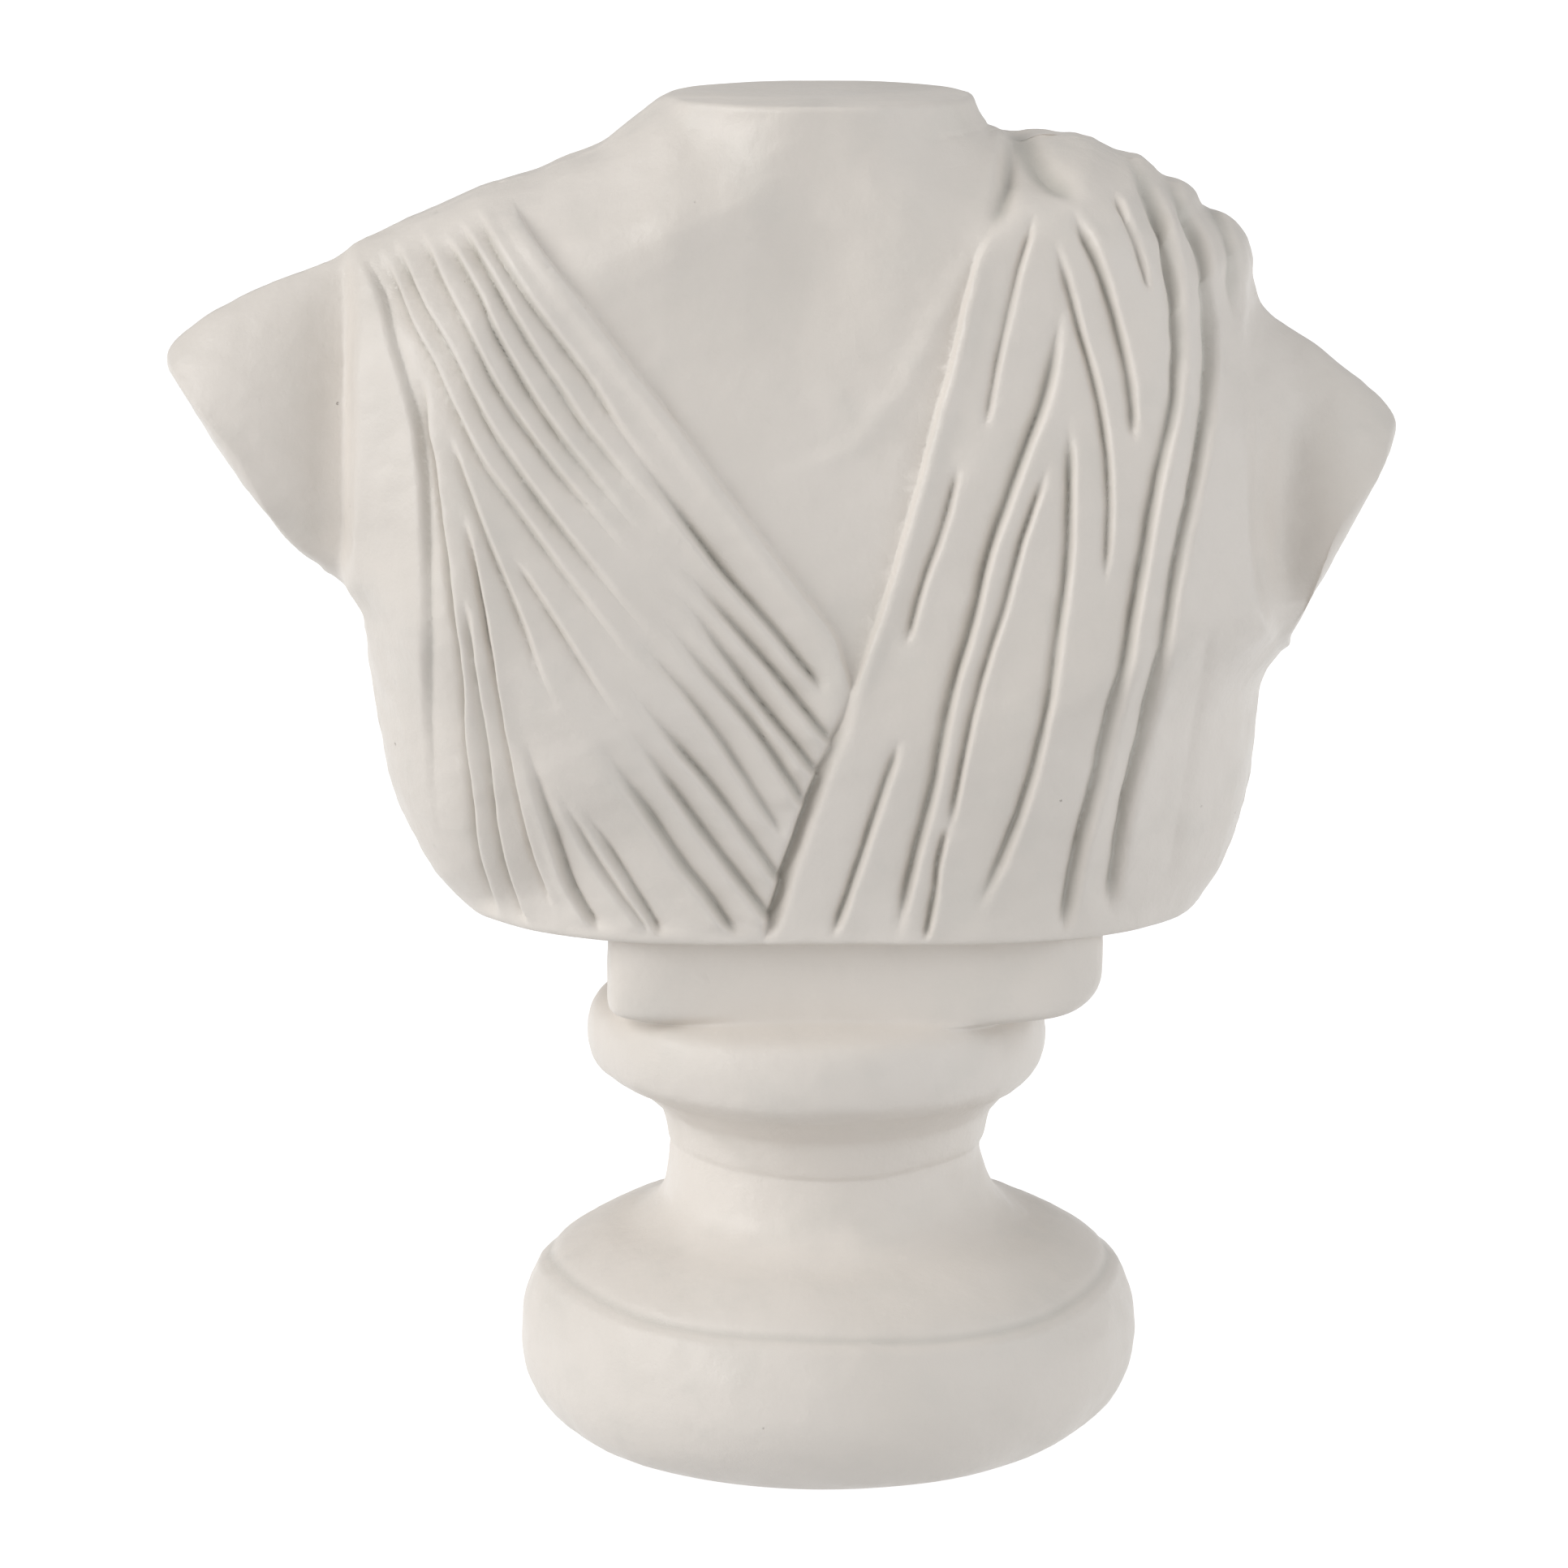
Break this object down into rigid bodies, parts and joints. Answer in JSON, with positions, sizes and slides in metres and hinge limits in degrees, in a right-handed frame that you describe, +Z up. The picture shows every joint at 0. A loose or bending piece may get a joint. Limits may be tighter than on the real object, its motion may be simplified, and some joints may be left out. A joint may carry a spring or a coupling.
{
  "type": "papier-mache bust",
  "caption": "Headless draped bust in off-white painted papier-mache, with cut arm stubs, moulded in one with its turned plinth",
  "frame": {"origin": "middle of the foot's flat underside, on the axis of the turned plinth", "axes": "+Z up, the bust faces -Y, and +X is to the right as the bust is seen from the front"},
  "size_m": [0.3596, 0.1859, 0.4],
  "materials": {
    "painted_paper": "satin off-white paint over papier-mache"
  },
  "bodies": {
    "root": {"bust": "painted_paper"}
  },
  "joints": []
}
